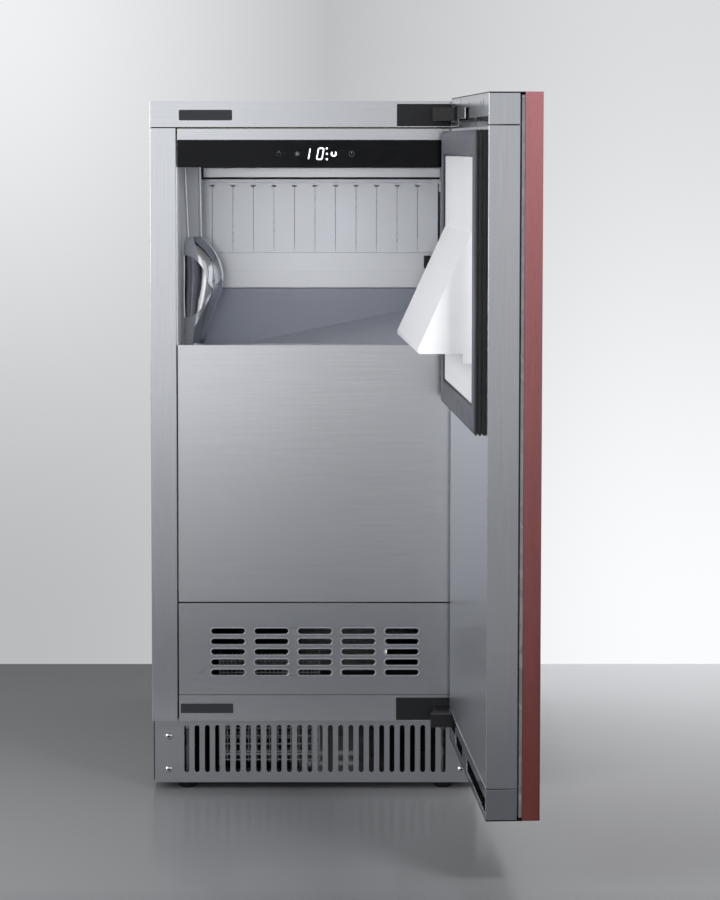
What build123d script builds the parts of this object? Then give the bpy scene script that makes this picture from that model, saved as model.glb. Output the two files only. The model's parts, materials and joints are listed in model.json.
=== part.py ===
"""Built-in ice maker, 15 inches wide, with its panel-ready door standing open.

Units are millimetres, +Z is up, and the floor is z = 0. Sub-parts are drawn in the cabinet's
own coordinates: x = 0 is the cabinet's middle, y = 0 its front face, and +y runs to the back.
The row's origin is the floor point under the middle of the box that the whole machine fills
with its door open, so each sub-part is built on the CABINET plane, or on DOOR, which carries
the closed door's coordinates to where the open door stands.
"""

import os

from build123d import *

os.makedirs("parts", exist_ok=True)

# ---------------------------------------------------------------- driving dimensions
CABINET_X = -19.0  # cabinet's middle in the row frame
FRONT_Y = -82.5  # cabinet's front face in the row frame

HALF_WIDTH = 189.4  # the cabinet is a 15 in built-in, 378.8 wide
TOP_Z = 803.0
DEPTH = 545.0
SHEET = 1.0  # outer steel
TRIM = 1.2  # front trim steel
FRAME_DEPTH = 24.0  # depth of the front frame's channels

STILE_IN = 159.6
PANEL_HALF = 158.0  # centre panels and bin walls
RAIL_BOTTOM_Z = 773.0
STILE_Z = (84.6, 772.0)
STRIP_Z = (758.5, 771.7)
CONTROL_Z = (727.3, 758.2)
LIP_Z = 523.0
VENT_Z = (115.5, 222.7)
BOTTOM_RAIL_Z = (84.6, 115.0)
KICK_Z = (8.3, 84.0)
KICK_HALF = 187.3
KICK_Y = 16.0

LOUVRE_PITCH = (50.4, 12.1)
LOUVRE_SIZE = (39.5, 6.8)
LOUVRE_MID_Z = 165.6
KICK_SLOTS = 26
KICK_SLOT_PITCH = 12.0
KICK_SLOT_SIZE = (5.8, 55.8)
KICK_SLOT_MID_Z = 48.2
SCREW_X = 171.0
SCREW_Z = (24.0, 63.0)
SCREW_R = 2.1
PANEL_GAP = 1.5  # joint between the front panel and the vent panel

PLUG_X = (-156.0, -95.0)
PLUG_TOP_Z = (781.0, 793.0)
PLUG_LOW_Z = (94.0, 105.0)

BASE_Z = 15.0  # underside of the base pan
PAN_WALL = 18.0  # height of its side and rear walls
PAN_LIP = 4.0  # height of its front lip, which stays below the kick slots
PAN_SHEET = 1.5
PAN_HALF = 185.4
PAN_TOP = BASE_Z + PAN_SHEET  # what stands in the pan starts here
SHELF_Z = 233.0  # shelf that carries the bin
LINER_Y = (25.5, 480.0)
LINER_Z = (238.0, 760.0)
LINER_WALL = 3.0

CURTAIN_Y = 300.0
CURTAIN_AXIS_Z = 708.0
CURTAIN_Z = (617.7, 704.0)
RAIL_Y = (288.0, 291.0)  # the rail that hides the curtain's rod
RAIL_Z = (712.5, 724.0)
DASH_Z = (700.5, 702.5)  # short cross slot at the top of each slit
FLAPS = 12
FLAP_PITCH = 25.9

FOOT_X = 150.0
FOOT_Y = (33.0, 500.0)
STEM_R = 5.0

FAN_X, FAN_Y, FAN_Z = -54.0, 132.0, 92.0
FAN_R = 58.0

OPEN_DEG = 92.64  # how far the door stands open
PIVOT = (176.1, -33.6)  # the door's hinge axis
DOOR_HALF = 187.7
DOOR_Z = (70.5, 805.7)
DOOR_IN = -13.3  # inner face of the closed door
DOOR_OUT = -45.0  # outer face of its steel body
CAP_H = 32.5
EDGE_TRIM = 1.1  # black strips that close the door's top and bottom
STRIP_Y = (-50.0, -46.5)
WOOD_Y = (-68.0, -50.0)
GASKET_HALF = 178.5
GASKET_Z = (461.0, 768.5)
GASKET_BAND = 27.0
LINER_HALF = 151.0
DOOR_LINER_Z = (488.5, 741.0)
LINER_FACE = DOOR_IN + 10.5

ARM_LOW_Z = (86.5, 101.5)
ARM_TOP_Z = (780.0, 795.0)
CASE_X = (94.5, 156.0)
CASE_LOW_Z = (86.0, 111.6)
CASE_TOP_Z = (775.0, 799.0)
PIN_R = 4.0
PIN_LENGTH = 7.5
PIN_FIT = 0.05  # radial running clearance
GAP = 0.3  # clearance between pieces that move past each other

CABINET = Plane(origin=(CABINET_X, FRONT_Y, 0))
SWING = Pos(PIVOT[0], PIVOT[1], 0) * Rot(0, 0, OPEN_DEG) * Pos(-PIVOT[0], -PIVOT[1], 0)
DOOR = Plane(CABINET.location * SWING)


def on(base, plane):
    """The same plane, carried from the cabinet's coordinates to a base plane."""
    return Plane(base.location * plane.location)


def block(x, y, z, mode=Mode.ADD):
    """A box between two faces on each axis; x, y and z are (low, high) pairs."""
    with Locations(((x[0] + x[1]) / 2, (y[0] + y[1]) / 2, (z[0] + z[1]) / 2)):
        Box(x[1] - x[0], y[1] - y[0], z[1] - z[0], mode=mode)


def cut(x, y, z):
    """The same box, taken away."""
    block(x, y, z, mode=Mode.SUBTRACT)


def rod(at, radius, length, axis="z", mode=Mode.ADD):
    """A round bar centred on a point, along one axis."""
    turns = {"x": (0, 90, 0), "y": (90, 0, 0), "z": (0, 0, 0)}
    with Locations(at):
        Cylinder(radius, length, rotation=turns[axis], mode=mode)


def front(base, y):
    """A sketch plane facing the viewer at depth y: sketch x runs right and sketch y runs up."""
    return on(base, Plane.XZ.offset(-y))


def save(piece, name):
    """Labels a finished sub-part and writes its STEP file."""
    piece.part.label = name
    export_step(piece.part, f"parts/{name}.step")


# ---------------------------------------------------------------- outer casing
for side, name in ((-1, "side_panel_left"), (1, "side_panel_right")):
    edges = sorted((side * HALF_WIDTH, side * (HALF_WIDTH - SHEET)))
    with BuildPart(CABINET) as side_panel:
        block(edges, (FRAME_DEPTH + 0.2, DEPTH), (8.5, TOP_Z - SHEET))
    save(side_panel, name)

with BuildPart(CABINET) as top_panel:
    block((-HALF_WIDTH, HALF_WIDTH), (FRAME_DEPTH + 0.2, DEPTH), (TOP_Z - SHEET, TOP_Z))
save(top_panel, "top_panel")

BACK_HALF = HALF_WIDTH - SHEET
WATER_AT = (110.0, 150.0)  # x and z of the three service outlets in the back
DRAIN_AT = (112.0, 60.0)
POWER_AT = (-120.0, 120.0)
with BuildPart(CABINET) as back_panel:
    block((-BACK_HALF, BACK_HALF), (DEPTH - SHEET, DEPTH), (17.0, TOP_Z - SHEET))
    with BuildSketch(front(CABINET, DEPTH)):
        with Locations(WATER_AT):
            Circle(22)
        with Locations(DRAIN_AT):
            Circle(18)
        with Locations(POWER_AT):
            Rectangle(34, 26)
        with Locations((0, 150)):
            with GridLocations(44, 14, 3, 6):
                SlotOverall(34, 6)
    extrude(amount=5, both=True, mode=Mode.SUBTRACT)
save(back_panel, "back_panel")

with BuildPart(CABINET) as base_pan:
    pan_y = (KICK_Y + 5, DEPTH - 2)
    inner_x = (-PAN_HALF + PAN_SHEET, PAN_HALF - PAN_SHEET)
    inner_y = (pan_y[0] + PAN_SHEET, pan_y[1] - PAN_SHEET)
    block((-PAN_HALF, PAN_HALF), pan_y, (BASE_Z, BASE_Z + PAN_WALL))
    cut(inner_x, inner_y, (BASE_Z + PAN_SHEET, BASE_Z + PAN_WALL + 1))
    cut(inner_x, (pan_y[0] - 1, inner_y[0] + 1), (BASE_Z + PAN_LIP, BASE_Z + PAN_WALL + 1))
    for x in (-FOOT_X, FOOT_X):
        for y in FOOT_Y:
            rod((x, y, BASE_Z), 7.0, 10, mode=Mode.SUBTRACT)
    with Locations(*((x, 300, BASE_Z) for x in range(-120, 121, 40))):
        Box(20, 5, 10, mode=Mode.SUBTRACT)
save(base_pan, "base_pan")

with BuildPart(CABINET) as leg_brackets:
    for x in (-FOOT_X, FOOT_X):
        side = 1 if x > 0 else -1
        web = sorted((side * 181.5, side * 183.5))
        plate = sorted((x - side * 16, side * 183.5))
        for y in FOOT_Y:
            block(plate, (y - 10, y + 17), (74, 77))
            block(web, (y - 10, y + 17), (PAN_TOP, 74))
            rod((x, y, 72), 8.5, 4)
            rod((x, y, 73), STEM_R + GAP, 12, mode=Mode.SUBTRACT)
save(leg_brackets, "leg_brackets")

with BuildPart(CABINET) as bin_shelf:
    block((-187, 187), (FRAME_DEPTH + 2, DEPTH - 2), (SHELF_Z, SHELF_Z + 1.5))
    block((-60, 60), (FRAME_DEPTH + 2, FRAME_DEPTH + 3.5), (SHELF_Z - 7, SHELF_Z))
    rod((60, 515, SHELF_Z), 14, 10, mode=Mode.SUBTRACT)
save(bin_shelf, "bin_shelf")

# ---------------------------------------------------------------- front frame and panels
with BuildPart(CABINET) as top_rail:
    block((-HALF_WIDTH, HALF_WIDTH), (0, FRAME_DEPTH), (RAIL_BOTTOM_Z, TOP_Z))
    cut(
        (-HALF_WIDTH + TRIM, HALF_WIDTH - TRIM),
        (TRIM, FRAME_DEPTH + 1),
        (RAIL_BOTTOM_Z + TRIM, TOP_Z - TRIM),
    )
    cut((CASE_X[0] - GAP, CASE_X[1] + GAP), (-1, 3), (CASE_TOP_Z[0] - GAP, CASE_TOP_Z[1] + GAP))
    cut((PLUG_X[0] + 2, PLUG_X[1] - 2), (-1, 3), (PLUG_TOP_Z[0] + 2, PLUG_TOP_Z[1] - 2))
save(top_rail, "top_rail")

with BuildPart(CABINET) as stiles:
    for side in (-1, 1):
        outer = sorted((side * STILE_IN, side * HALF_WIDTH))
        inner = sorted((side * (STILE_IN + TRIM), side * (HALF_WIDTH - TRIM)))
        block(outer, (0, FRAME_DEPTH), STILE_Z)
        cut(inner, (TRIM, FRAME_DEPTH + 1), (STILE_Z[0] + TRIM, STILE_Z[1] - TRIM))
    front_edges = stiles.edges().filter_by(Axis.Z).group_by(Axis.Y)[0]
    fillet(front_edges.group_by(SortBy.LENGTH)[-1], 0.6)
save(stiles, "stiles")

with BuildPart(CABINET) as bottom_rail:
    block((-PANEL_HALF, PANEL_HALF), (0, FRAME_DEPTH), BOTTOM_RAIL_Z)
    cut(
        (-PANEL_HALF + TRIM, PANEL_HALF - TRIM),
        (TRIM, FRAME_DEPTH + 1),
        (BOTTOM_RAIL_Z[0] + TRIM, BOTTOM_RAIL_Z[1] - TRIM),
    )
    cut((CASE_X[0] - GAP, CASE_X[1] + GAP), (-1, 3), (CASE_LOW_Z[0] - GAP, CASE_LOW_Z[1] + GAP))
    cut((PLUG_X[0] + 3, PLUG_X[1] - 1), (-1, 3), (PLUG_LOW_Z[0] + 2, PLUG_LOW_Z[1] - 2))
save(bottom_rail, "bottom_rail")

with BuildPart(CABINET) as upper_trim:
    block((-PANEL_HALF, PANEL_HALF), (0, 12), STRIP_Z)
    cut((-160, 160), (TRIM, 13), (STRIP_Z[0] + TRIM, STRIP_Z[1] - TRIM))
save(upper_trim, "upper_trim")

with BuildPart(CABINET) as front_panel:
    z = (VENT_Z[1] + PANEL_GAP, LIP_Z)
    block((-PANEL_HALF, PANEL_HALF), (0, TRIM), z)
    block((-PANEL_HALF, PANEL_HALF), (TRIM, LINER_Y[0] + LINER_WALL), (LIP_Z - TRIM, LIP_Z))
    block((-PANEL_HALF, PANEL_HALF), (TRIM, 12), (z[0], z[0] + TRIM))
    for side in (-1, 1):
        x = sorted((side * (PANEL_HALF - TRIM), side * PANEL_HALF))
        block(x, (TRIM, 12), (z[0] + TRIM, z[1] - TRIM))
save(front_panel, "front_panel")

with BuildPart(CABINET) as vent_panel:
    block((-PANEL_HALF, PANEL_HALF), (0, 12), VENT_Z)
    cut((-PANEL_HALF + TRIM, PANEL_HALF - TRIM), (TRIM, 13), (VENT_Z[0] + TRIM, VENT_Z[1] - TRIM))
    with BuildSketch(front(CABINET, 0)):
        with Locations((0, LOUVRE_MID_Z)):
            with GridLocations(*LOUVRE_PITCH, 5, 5):
                SlotOverall(*LOUVRE_SIZE)
    extrude(amount=3, both=True, mode=Mode.SUBTRACT)
save(vent_panel, "vent_panel")

with BuildPart(CABINET) as kick_grille:
    block((-KICK_HALF, KICK_HALF), (KICK_Y, KICK_Y + TRIM), KICK_Z)
    for side in (-1, 1):
        x = sorted((side * (KICK_HALF - TRIM), side * KICK_HALF))
        block(x, (KICK_Y + TRIM, KICK_Y + 30), KICK_Z)
    with BuildSketch(front(CABINET, KICK_Y)):
        with Locations((0, KICK_SLOT_MID_Z)):
            with GridLocations(KICK_SLOT_PITCH, 10, KICK_SLOTS, 1):
                SlotOverall(KICK_SLOT_SIZE[1], KICK_SLOT_SIZE[0], rotation=90)
        with Locations(*((x, z) for x in (-SCREW_X, SCREW_X) for z in SCREW_Z)):
            Circle(SCREW_R + GAP)
    extrude(amount=3, both=True, mode=Mode.SUBTRACT)
save(kick_grille, "kick_grille")

with BuildPart(CABINET) as kick_screws:
    for x in (-SCREW_X, SCREW_X):
        for z in SCREW_Z:
            rod((x, KICK_Y + 2.0, z), SCREW_R, 5, "y")
            rod((x, KICK_Y - 1.2, z), 4.0, 2.4, "y")
    fillet(kick_screws.edges().filter_by(GeomType.CIRCLE).group_by(Axis.Y)[0], 1.6)
save(kick_screws, "kick_screws")

with BuildPart(CABINET) as plug_covers:
    for z in (PLUG_TOP_Z, PLUG_LOW_Z):
        block(PLUG_X, (-1.6, 0), z)
    fillet(plug_covers.edges().filter_by(Axis.Y), 1.5)
    fillet(plug_covers.faces().group_by(Axis.Y)[0].edges(), 0.5)
    for z in (PLUG_TOP_Z, PLUG_LOW_Z):
        block((PLUG_X[0] + 4, PLUG_X[1] - 4), (0, 5), (z[0] + 2.5, z[1] - 2.5))
save(plug_covers, "plug_covers")

# ---------------------------------------------------------------- controls
with BuildPart(CABINET) as control_panel:
    block((-PANEL_HALF, PANEL_HALF), (0, 3), CONTROL_Z)
    fillet(control_panel.faces().sort_by(Axis.Y)[0].edges(), 0.5)
save(control_panel, "control_panel")

with BuildPart(CABINET) as control_housing:
    block((-155, 155), (3.2, 25), (CONTROL_Z[0] + 0.7, CONTROL_Z[1] - 0.7))
    cut((-153, 153), (3, 23), (CONTROL_Z[0] + 2.7, CONTROL_Z[1] - 2.7))
save(control_housing, "control_housing")

with BuildPart(CABINET) as control_board:
    block((-90, 90), (9, 10.6), (732, 754))
    block((-75, -55), (10.6, 17), (735, 750))
    block((40, 70), (10.6, 14), (735, 750))
    block((-16, 30), (3.4, 9), (735, 751))
save(control_board, "control_board")

# ---------------------------------------------------------------- bin and its insulation
with BuildPart(CABINET) as bin_liner:
    wall = PANEL_HALF + LINER_WALL
    block((-wall, wall), LINER_Y, LINER_Z)
    inside_y = (LINER_Y[0] + LINER_WALL, LINER_Y[1] - LINER_WALL)
    inside_z = (LINER_Z[0] + LINER_WALL, LINER_Z[1] - LINER_WALL)
    cut((-PANEL_HALF, PANEL_HALF), inside_y, inside_z)
    cut((-PANEL_HALF, PANEL_HALF), (20, 30), (LIP_Z - TRIM - 0.1, CONTROL_Z[0]))
    for side in (-1, 1):
        x = sorted((side * (PANEL_HALF + 0.1), side * (STILE_IN - 0.1)))
        block(x, (1, LINER_Y[0]), (LIP_Z, CONTROL_Z[0]))
save(bin_liner, "bin_liner")

with BuildPart(CABINET) as insulation:
    block((-187, 187), (FRAME_DEPTH + 2, 515), (SHELF_Z + 2, 800))
    wall = PANEL_HALF + LINER_WALL + 0.2
    cut((-wall, wall), (0, LINER_Y[1] + 0.2), (LINER_Z[0] - 0.2, LINER_Z[1] + 0.2))
    cut((-HALF_WIDTH, HALF_WIDTH), (0, 70), (765, 820))
save(insulation, "insulation")

SLIDE = 4.0  # plate thickness of the bin's sloping baffles
REAR_TOP = (CURTAIN_Y - 0.5, 572.0)
REAR_LOW = (120.0, 491.5)
with BuildPart(CABINET) as rear_slide:
    with BuildSketch(on(CABINET, Plane.YZ)):
        with BuildLine():
            Polyline(
                REAR_LOW,
                REAR_TOP,
                (REAR_TOP[0], REAR_TOP[1] - SLIDE),
                (REAR_LOW[0] + SLIDE, REAR_LOW[1] - SLIDE),
                (REAR_LOW[0] + SLIDE, 300.0),
                (REAR_LOW[0], 300.0),
                close=True,
            )
        make_face()
    extrude(amount=PANEL_HALF - GAP, both=True)
save(rear_slide, "rear_slide")

# The side slide is a plate that rises to the right and to the back, and meets the rear slide
# along a diagonal. It stays under the ice deflector of the closed door.
SIDE_RISE = 0.1313  # rise per millimetre to the right
SIDE_BACK_RISE = 0.12  # rise per millimetre to the back
SIDE_FRONT_Y = LINER_Y[0] + LINER_WALL + GAP
SIDE_X = (-73.6, PANEL_HALF - 0.5)
SIDE_LOW_Z = 497.8  # its top at the front left corner
SIDE_HIGH_Z = SIDE_LOW_Z + SIDE_RISE * (SIDE_X[1] - SIDE_X[0])
SIDE_DEPTH = 280.0
with BuildPart(CABINET) as side_slide:
    with BuildSketch(front(CABINET, SIDE_FRONT_Y)):
        with BuildLine():
            Polyline(
                (SIDE_X[0], SIDE_LOW_Z),
                (SIDE_X[1], SIDE_HIGH_Z),
                (SIDE_X[1], SIDE_HIGH_Z - SLIDE),
                (SIDE_X[0], SIDE_LOW_Z - SLIDE),
                close=True,
            )
        make_face()
    extrude(amount=SIDE_DEPTH, dir=(0, 1, SIDE_BACK_RISE))
    # what would lie under the rear slide is taken away
    with BuildSketch(on(CABINET, Plane.YZ)):
        with BuildLine():
            Polyline(
                (REAR_LOW[0] - 1.0, REAR_LOW[1] - 80),
                (REAR_LOW[0] - 1.0, REAR_LOW[1]),
                (REAR_TOP[0] - 1.0, REAR_TOP[1] + 0.4),
                (400.0, REAR_TOP[1] + 0.4),
                (400.0, REAR_LOW[1] - 80),
                close=True,
            )
        make_face()
    extrude(amount=200, both=True, mode=Mode.SUBTRACT)
save(side_slide, "side_slide")

# ---------------------------------------------------------------- ice making parts
with BuildPart(CABINET) as curtain_rail:
    half = PANEL_HALF - 0.5
    block((-half, half), RAIL_Y, RAIL_Z)
    block((-half, half), (RAIL_Y[1], RAIL_Y[1] + 27), (RAIL_Z[1] - 3, RAIL_Z[1]))
save(curtain_rail, "curtain_rail")

with BuildPart(CABINET) as curtain_rod:
    rod((0, CURTAIN_Y, CURTAIN_AXIS_Z), 2.0, 2 * 157.6, "x")
save(curtain_rod, "curtain_rod")

with BuildPart(CABINET) as rod_brackets:
    for side in (-1, 1):
        x = sorted((side * 156.2, side * 157.8))
        block(x, (292, 308), (694, 720))
        x = sorted((side * 148.0, side * 157.8))
        block(x, (292, 293.5), (704, 716))
        rod((side * 157, CURTAIN_Y, CURTAIN_AXIS_Z), 2.0, 6, "x", mode=Mode.SUBTRACT)
save(rod_brackets, "rod_brackets")

with BuildPart(CABINET) as ice_curtain:
    half = FLAPS * FLAP_PITCH / 2 - 0.4
    block((-half, half), (CURTAIN_Y - 1.4, CURTAIN_Y + 1.4), (CURTAIN_Z[0], CURTAIN_AXIS_Z - 1))
    rod((0, CURTAIN_Y, CURTAIN_AXIS_Z), 3.6, 2 * half, "x")
    rod((0, CURTAIN_Y, CURTAIN_AXIS_Z), 2.0 + GAP, 2 * half + 2, "x", mode=Mode.SUBTRACT)
    for flap in range(1, FLAPS):
        x = (flap - FLAPS / 2) * FLAP_PITCH
        cut((x - 0.25, x + 0.25), (290, 310), (CURTAIN_Z[0] - 1, DASH_Z[0]))
        cut((x - 3.0, x + 3.0), (290, 310), DASH_Z)
save(ice_curtain, "ice_curtain")

with BuildPart(CABINET) as water_trough:
    block((-156, 156), (306, 430), (575, 622))
    block((-157.5, 157.5), (303, 306), (590, 617))
    block((-157.5, 157.5), (300, 303), (573, 594))
    cut((-153.5, 153.5), (308.5, 427.5), (577.5, 625))
save(water_trough, "water_trough")

EVAP_HALF = 130.0
EVAP_Y = (330.0, 350.0, 352.0)  # front of the cups, their plate, and its back
EVAP_Z = (628.0, 702.0)
CUPS = (12, 4)  # columns and rows of ice cups
CUP_WALL = 1.6
with BuildPart(CABINET) as evaporator:
    block((-EVAP_HALF, EVAP_HALF), EVAP_Y[1:], EVAP_Z)
    edge = CUP_WALL / 2
    for column in range(CUPS[0] + 1):
        x = -EVAP_HALF + edge + column * (2 * EVAP_HALF - CUP_WALL) / CUPS[0]
        block((x - edge, x + edge), EVAP_Y[:2], EVAP_Z)
    for row in range(CUPS[1] + 1):
        z = EVAP_Z[0] + edge + row * (EVAP_Z[1] - EVAP_Z[0] - CUP_WALL) / CUPS[1]
        block((-EVAP_HALF, EVAP_HALF), EVAP_Y[:2], (z - edge, z + edge))
    with BuildLine(on(CABINET, Plane.XZ.offset(-355.8))):
        FilletPolyline(
            (120, 690),
            (-120, 690),
            (-120, 666),
            (120, 666),
            (120, 642),
            (-150, 642),
            radius=10,
        )
    with BuildSketch(on(CABINET, Plane((120, 355.8, 690), z_dir=(-1, 0, 0)))):
        Circle(4)
    sweep()
save(evaporator, "evaporator")

with BuildPart(CABINET) as water_distributor:
    rod((0, 326, 714), 7, 270, "x")
    rod((0, 326, 714), 5.5, 266, "x", mode=Mode.SUBTRACT)
    for drop in range(13):
        rod((-120 + 20 * drop, 329, 708), 1.5, 8, mode=Mode.SUBTRACT)
save(water_distributor, "water_distributor")

with BuildPart(CABINET) as circulation_pump:
    rod((120, 400, 663), 24, 60)
    rod((120, 400, 607), 6, 52)
    rod((120, 400, 590), 20, 18)
    fillet(circulation_pump.faces().sort_by(Axis.Z)[-1].edges(), 5)
save(circulation_pump, "circulation_pump")

with BuildPart(CABINET) as bin_sensor:
    block((137, 146), (278, 288), (598, 614))
    block((146, 157.8), (281, 285), (602, 610))
    fillet(bin_sensor.edges().filter_by(Axis.Y), 1.2)
save(bin_sensor, "bin_sensor")

# ---------------------------------------------------------------- scoop and its hook
HOOK_X, HOOK_Z = -146.0, 744.0
HANDLE_Y = 90.0
BOWL_Y = 92.0
BOWL_SECTIONS = (  # height, middle in x, radius
    (645.0, -143.0, 9.0),
    (634.0, -139.5, 15.9),
    (615.0, -133.7, 21.7),
    (597.0, -132.0, 23.4),
    (560.0, -136.7, 18.7),
    (517.0, -143.0, 12.4),
    (506.0, -144.5, 10.8),
)
BOWL_WALL = 1.2
MOUTH_AT = (-155.0, 586.0)
MOUTH_SIZE = (28.5, 37.0)
with BuildPart(CABINET) as scoop_hook:
    start = LINER_Y[0] + LINER_WALL
    rod((HOOK_X, (start + HANDLE_Y + 8) / 2, HOOK_Z), 2.5, HANDLE_Y + 8 - start, "y")
    rod((HOOK_X, HANDLE_Y + 9, HOOK_Z), 4.5, 2, "y")
    rod((HOOK_X, start + 1.5, HOOK_Z), 8, 3, "y")
save(scoop_hook, "scoop_hook")


with BuildPart(CABINET) as scoop:
    for wall, mode in ((0.0, Mode.ADD), (BOWL_WALL, Mode.SUBTRACT)):
        first, last = BOWL_SECTIONS[0][0], BOWL_SECTIONS[-1][0]
        for z, x, radius in BOWL_SECTIONS:
            level = min(max(z, last + wall), first - wall)
            with BuildSketch(on(CABINET, Plane.XY.offset(level))):
                with Locations((x, BOWL_Y)):
                    Circle(radius - wall)
        loft(mode=mode)
    # the mouth is cut from the front only, and reaches past the left side
    with BuildSketch(front(CABINET, BOWL_Y)):
        with Locations(MOUTH_AT):
            Ellipse(*MOUTH_SIZE)
    extrude(amount=40, mode=Mode.SUBTRACT)
    # the handle is a strip with a round hole for the hook, stiffened by a bead along each side
    top_z, low_z = HOOK_Z + 4, BOWL_SECTIONS[0][0] - 2
    low_x = BOWL_SECTIONS[0][1]
    with BuildSketch(front(CABINET, HANDLE_Y - 1)):
        with BuildLine():
            Polyline(
                (HOOK_X - 10.0, top_z),
                (HOOK_X + 10.0, top_z),
                (low_x + 8.0, low_z),
                (low_x - 8.0, low_z),
                close=True,
            )
        make_face()
        with Locations((HOOK_X, HOOK_Z)):
            Circle(2.5 + GAP, mode=Mode.SUBTRACT)
    extrude(amount=-2)
    for side in (-1, 1):
        with BuildLine(front(CABINET, HANDLE_Y)):
            bead = Line((HOOK_X + side * 9.0, top_z), (low_x + side * 7.5, low_z))
        with BuildSketch(Plane(bead @ 0, z_dir=bead % 0)):
            Circle(2.2)
        sweep(path=bead)
save(scoop, "scoop")

# ---------------------------------------------------------------- machine compartment
COND_X = (-114.0, 6.0)
COND_Y = (62.0, 96.0)
COND_Z = (17.0, 150.0)
GUARD_PITCH = 9.5  # wires across its face, seen through the kick slots
with BuildPart(CABINET) as condenser:
    middle_x = (COND_X[0] + COND_X[1]) / 2
    reach = COND_X[1] - COND_X[0] - 2
    for x in (COND_X[0] + 1, COND_X[1] - 1):
        block((x - 1, x + 1), COND_Y, COND_Z)
    for row in range(6):
        for y in (COND_Y[0] + 9, COND_Y[0] + 26):
            rod((middle_x, y, COND_Z[0] + 12 + 21.5 * row), 3.5, reach, "x")
    for fin in range(23):
        x = COND_X[0] + 5 + 5 * fin
        block((x - 0.4, x + 0.4), (COND_Y[0] + 2, COND_Y[1]), (COND_Z[0] + 4, COND_Z[1] - 4))
    for wire in range(13):
        z = COND_Z[0] + 7 + GUARD_PITCH * wire
        rod((middle_x, COND_Y[0] + 1.2, z), 1.2, reach, "x")
save(condenser, "condenser")

with BuildPart(CABINET) as fan_motor:
    rod((FAN_X, 170, FAN_Z), 22, 40, "y")
    rod((FAN_X, 140, FAN_Z), 3.0, 24, "y")
    block((FAN_X - 20, FAN_X + 20), (172, 188), (PAN_TOP, FAN_Z - 15))
save(fan_motor, "fan_motor")

with BuildPart(CABINET) as fan_blade:
    rod((FAN_X, FAN_Y, FAN_Z), 14, 14, "y")
    for blade in range(5):
        turn = Rot(0, 72 * blade, 0)
        place = Pos(FAN_X, FAN_Y, FAN_Z) * turn * Pos(0, 0, FAN_R / 2 + 5) * Rot(0, 0, 28)
        with Locations(place):
            Box(34, 2, FAN_R - 10)
    rod((FAN_X, FAN_Y + 2, FAN_Z), 3.0 + PIN_FIT, 12, "y", mode=Mode.SUBTRACT)
save(fan_blade, "fan_blade")

SHELL_X, SHELL_Y = -80.0, 400.0
SHELL_R = 62.0
SHELL_Z = (52.0, 142.0)
SHELL_DOME = 30.0
SHELL_FEET_Z = 42.0  # underside of the plate that stands on the rubber pads
with BuildPart(CABINET) as compressor:
    rod((SHELL_X, SHELL_Y, sum(SHELL_Z) / 2), SHELL_R, SHELL_Z[1] - SHELL_Z[0])
    with Locations((SHELL_X, SHELL_Y, SHELL_Z[1])):
        Cone(SHELL_R, 30, SHELL_DOME, align=(Align.CENTER, Align.CENTER, Align.MIN))
    block((SHELL_X - 20, SHELL_X + 20), (SHELL_Y - 72, SHELL_Y - 50), (90, 130))
    block((SHELL_X - 70, SHELL_X + 70), (SHELL_Y - 25, SHELL_Y + 25), (SHELL_FEET_Z, SHELL_Z[0]))
    for x in (SHELL_X - 60, SHELL_X + 60):
        for y in (SHELL_Y - 14, SHELL_Y + 14):
            rod((x, y, (PAN_TOP + SHELL_FEET_Z) / 2), 8, SHELL_FEET_Z - PAN_TOP)
save(compressor, "compressor")

with BuildPart(CABINET) as drain_pump:
    block((80, 150), (380, 450), (PAN_TOP, 75))
    cut((83, 147), (383, 447), (BASE_Z + 4.5, 72))
    rod((115, 415, 92), 20, 34)
save(drain_pump, "drain_pump")

with BuildPart(CABINET) as drain_fitting:
    rod((DRAIN_AT[0], 520, DRAIN_AT[1]), 8, 86, "y")
    rod((DRAIN_AT[0], 540, DRAIN_AT[1]), 13, 4, "y")
    rod((DRAIN_AT[0], 520, DRAIN_AT[1]), 5.5, 90, "y", mode=Mode.SUBTRACT)
save(drain_fitting, "drain_fitting")

with BuildPart(CABINET) as water_valve:
    rod((WATER_AT[0], 543, WATER_AT[1]), 13.1, 28, "y")
    rod((WATER_AT[0], 538, WATER_AT[1]), 8.0, 40, "y", mode=Mode.SUBTRACT)
    block((85, 135), (505, 529), (130, 170))
    block((95, 125), (507, 527), (170, 205))
    rod((WATER_AT[0], 496, 150), 5, 18, "y")
save(water_valve, "water_valve")

with BuildPart(CABINET) as power_inlet:
    block((-136.5, -103.5), (515, 545.5), (107.5, 132.5))
    cut((-133, -107), (528, 550), (111, 129))
    for x in (-127, -120, -113):
        block((x - 0.8, x + 0.8), (528, 540), (117, 123))
save(power_inlet, "power_inlet")

# ---------------------------------------------------------------- levelling feet
for end, y in (("front", FOOT_Y[0]), ("rear", FOOT_Y[1])):
    for side, x in (("left", -FOOT_X), ("right", FOOT_X)):
        with BuildPart(CABINET) as foot:
            with Locations((x, y, 4)):
                Cone(9.5, 14.5, 8)
            rod((x, y, 9.5), 14.5, 3)
            with BuildSketch(on(CABINET, Plane.XY.offset(11))):
                with Locations((x, y)):
                    RegularPolygon(6.2, 6)
            extrude(amount=3.6)
            rod((x, y, 46), STEM_R, 63)
        save(foot, f"foot_{end}_{side}")

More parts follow.
